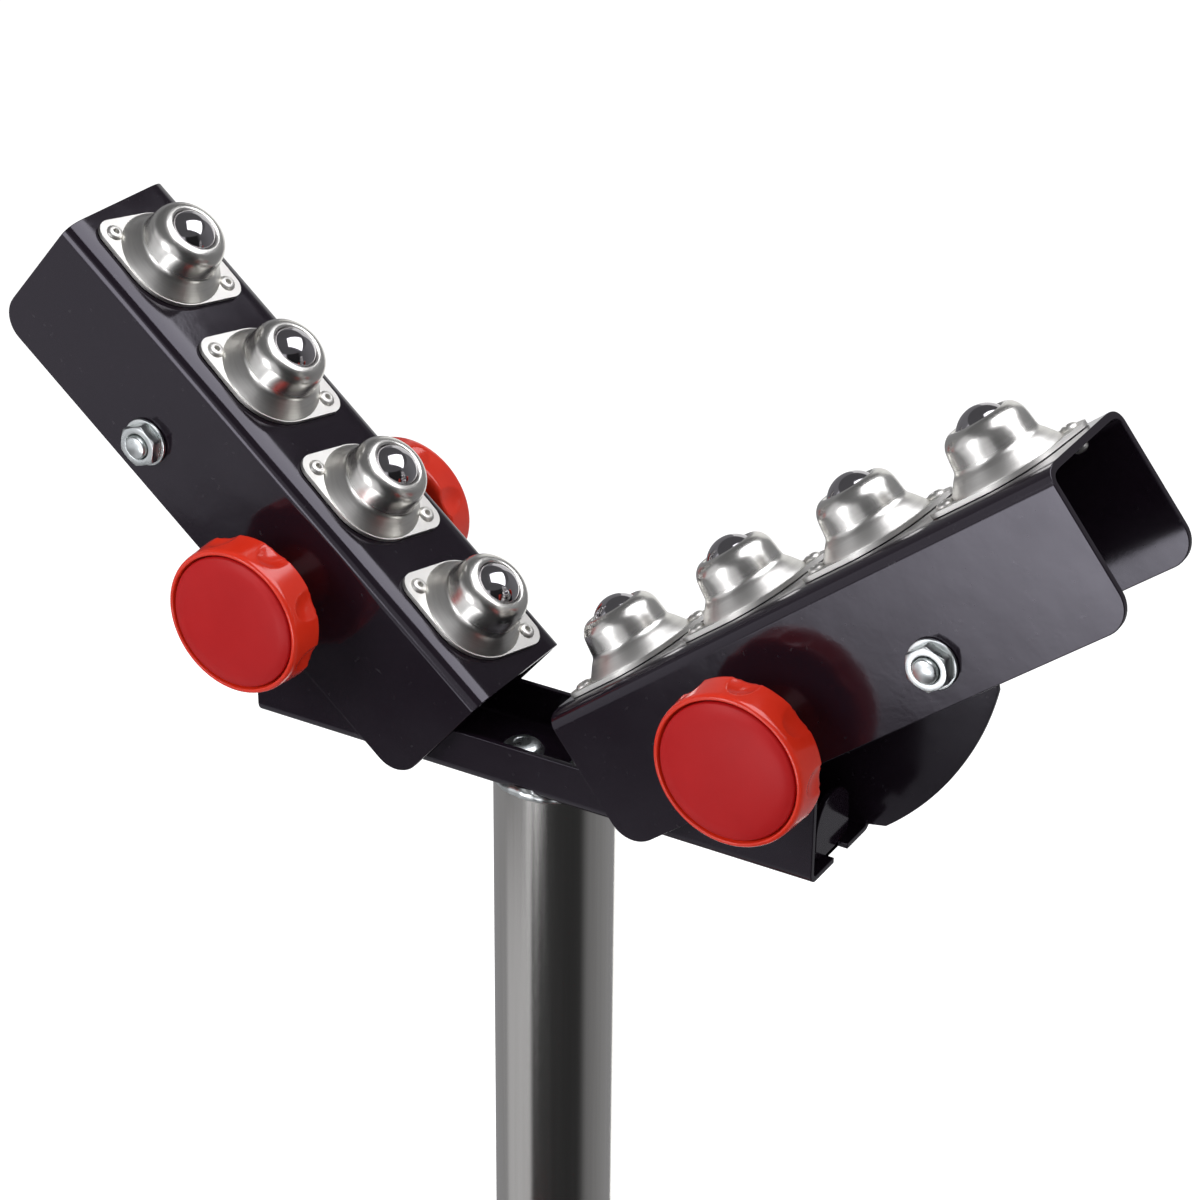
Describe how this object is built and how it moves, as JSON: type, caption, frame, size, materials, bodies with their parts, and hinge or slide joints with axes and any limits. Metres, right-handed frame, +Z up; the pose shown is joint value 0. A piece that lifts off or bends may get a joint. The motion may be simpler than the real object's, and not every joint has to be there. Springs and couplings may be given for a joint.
{
  "type": "roller stand",
  "caption": "Height-adjustable stand on a cross base, with a V-shaped head of tilting channel arms that carry bars and pipes on steel transfer balls, locked by round clamping knobs.",
  "frame": {"origin": "on the floor under the post's axis", "axes": "+Z up along the post, +X along the head from the left arm to the right arm, front at -Y"},
  "size_m": [0.5516, 0.5516, 0.9045],
  "materials": {
    "paint": "gloss black powder coat",
    "housing": "pressed bright steel, polished dome and satin body",
    "ball": "ground and polished bearing ball",
    "steel": "plain steel",
    "zinc": "bright zinc plate",
    "chrome": "satin chrome",
    "rim": "moulded red plastic, glossy",
    "cap": "moulded red plastic, satin",
    "nylon": "black nylon",
    "rubber": "moulded black rubber"
  },
  "bodies": {
    "stand": {"base_beam": "paint", "right_leg": "paint", "left_leg": "paint", "back_right_foot": "rubber", "front_left_foot": "rubber", "front_right_foot": "rubber", "back_left_foot": "rubber", "column": "paint"},
    "guide": {"guide_bush": "nylon"},
    "height_clamp": {"height_clamp_knob": "rim"},
    "head": {"post": "chrome", "base_bracket": "paint", "left_head_bolt": "zinc", "right_head_bolt": "zinc", "left_pivot_stud": "steel", "right_pivot_stud": "steel", "left_front_washer": "nylon", "left_back_washer": "nylon", "right_front_washer": "nylon", "right_back_washer": "nylon"},
    "left_front_clamp": {"left_front_knob": "rim", "left_front_knob_cap": "cap"},
    "left_back_clamp": {"left_back_knob": "rim", "left_back_knob_cap": "cap"},
    "right_front_clamp": {"right_front_knob": "rim", "right_front_knob_cap": "cap"},
    "right_back_clamp": {"right_back_knob": "rim", "right_back_knob_cap": "cap"},
    "left_roller_arm": {"left_arm": "paint", "left_housing_1": "housing", "left_housing_2": "housing", "left_housing_3": "housing", "left_housing_4": "housing", "left_cup_1": "steel", "left_cup_2": "steel", "left_cup_3": "steel", "left_cup_4": "steel", "left_tie_bolt": "zinc", "left_tie_nut": "zinc", "left_tie_spacer": "steel"},
    "right_roller_arm": {"right_arm": "paint", "right_housing_1": "housing", "right_housing_2": "housing", "right_housing_3": "housing", "right_housing_4": "housing", "right_cup_1": "steel", "right_cup_2": "steel", "right_cup_3": "steel", "right_cup_4": "steel", "right_tie_bolt": "zinc", "right_tie_nut": "zinc", "right_tie_spacer": "steel"},
    "left_roller_1": {"left_ball_1": "ball"},
    "left_roller_2": {"left_ball_2": "ball"},
    "left_roller_3": {"left_ball_3": "ball"},
    "left_roller_4": {"left_ball_4": "ball"},
    "right_roller_1": {"right_ball_1": "ball"},
    "right_roller_2": {"right_ball_2": "ball"},
    "right_roller_3": {"right_ball_3": "ball"},
    "right_roller_4": {"right_ball_4": "ball"}
  },
  "joints": [
    {"name": "head_swivel", "type": "hinge", "parent": "stand", "child": "guide", "pos_m": [0, 0, 0.45], "axis": [0, 0, 1], "continuous": true},
    {"name": "head_height", "type": "slide", "parent": "guide", "child": "head", "axis": [0, 0, 1], "range_m": [-0.23, 0.08]},
    {"name": "height_clamp_turn", "type": "hinge", "parent": "stand", "child": "height_clamp", "pos_m": [0, -0.06, 0.405], "axis": [0, -1, 0], "range_deg": [0, 180]},
    {"name": "left_arm_tilt", "type": "hinge", "parent": "head", "child": "left_roller_arm", "pos_m": [-0.1107, 0, 0.76385], "axis": [0, 1, 0], "range_deg": [-40.1, 4.9]},
    {"name": "right_arm_tilt", "type": "hinge", "parent": "head", "child": "right_roller_arm", "pos_m": [0.1107, 0, 0.76385], "axis": [0, -1, 0], "range_deg": [-38.1, 6.9]},
    {"name": "left_front_clamp_turn", "type": "hinge", "parent": "head", "child": "left_front_clamp", "pos_m": [-0.1107, -0.05, 0.76385], "axis": [0, -1, 0], "range_deg": [0, 180]},
    {"name": "left_back_clamp_turn", "type": "hinge", "parent": "head", "child": "left_back_clamp", "pos_m": [-0.1107, 0.05, 0.76385], "axis": [0, 1, 0], "range_deg": [0, 180]},
    {"name": "right_front_clamp_turn", "type": "hinge", "parent": "head", "child": "right_front_clamp", "pos_m": [0.1107, -0.05, 0.76385], "axis": [0, -1, 0], "range_deg": [0, 180]},
    {"name": "right_back_clamp_turn", "type": "hinge", "parent": "head", "child": "right_back_clamp", "pos_m": [0.1107, 0.05, 0.76385], "axis": [0, 1, 0], "range_deg": [0, 180]},
    {"name": "left_roller_1_turn", "type": "hinge", "parent": "left_roller_arm", "child": "left_roller_1", "pos_m": [-0.02973, 0, 0.77214], "axis": [0, 1, 0], "continuous": true},
    {"name": "left_roller_2_turn", "type": "hinge", "parent": "left_roller_arm", "child": "left_roller_2", "pos_m": [-0.07715, 0, 0.81207], "axis": [0, 1, 0], "continuous": true},
    {"name": "left_roller_3_turn", "type": "hinge", "parent": "left_roller_arm", "child": "left_roller_3", "pos_m": [-0.12458, 0, 0.85201], "axis": [0, 1, 0], "continuous": true},
    {"name": "left_roller_4_turn", "type": "hinge", "parent": "left_roller_arm", "child": "left_roller_4", "pos_m": [-0.172, 0, 0.89195], "axis": [0, 1, 0], "continuous": true},
    {"name": "right_roller_1_turn", "type": "hinge", "parent": "right_roller_arm", "child": "right_roller_1", "pos_m": [0.03006, 0, 0.77496], "axis": [0, 1, 0], "continuous": true},
    {"name": "right_roller_2_turn", "type": "hinge", "parent": "right_roller_arm", "child": "right_roller_2", "pos_m": [0.07885, 0, 0.81322], "axis": [0, 1, 0], "continuous": true},
    {"name": "right_roller_3_turn", "type": "hinge", "parent": "right_roller_arm", "child": "right_roller_3", "pos_m": [0.12764, 0, 0.85147], "axis": [0, 1, 0], "continuous": true},
    {"name": "right_roller_4_turn", "type": "hinge", "parent": "right_roller_arm", "child": "right_roller_4", "pos_m": [0.17643, 0, 0.88973], "axis": [0, 1, 0], "continuous": true}
  ]
}
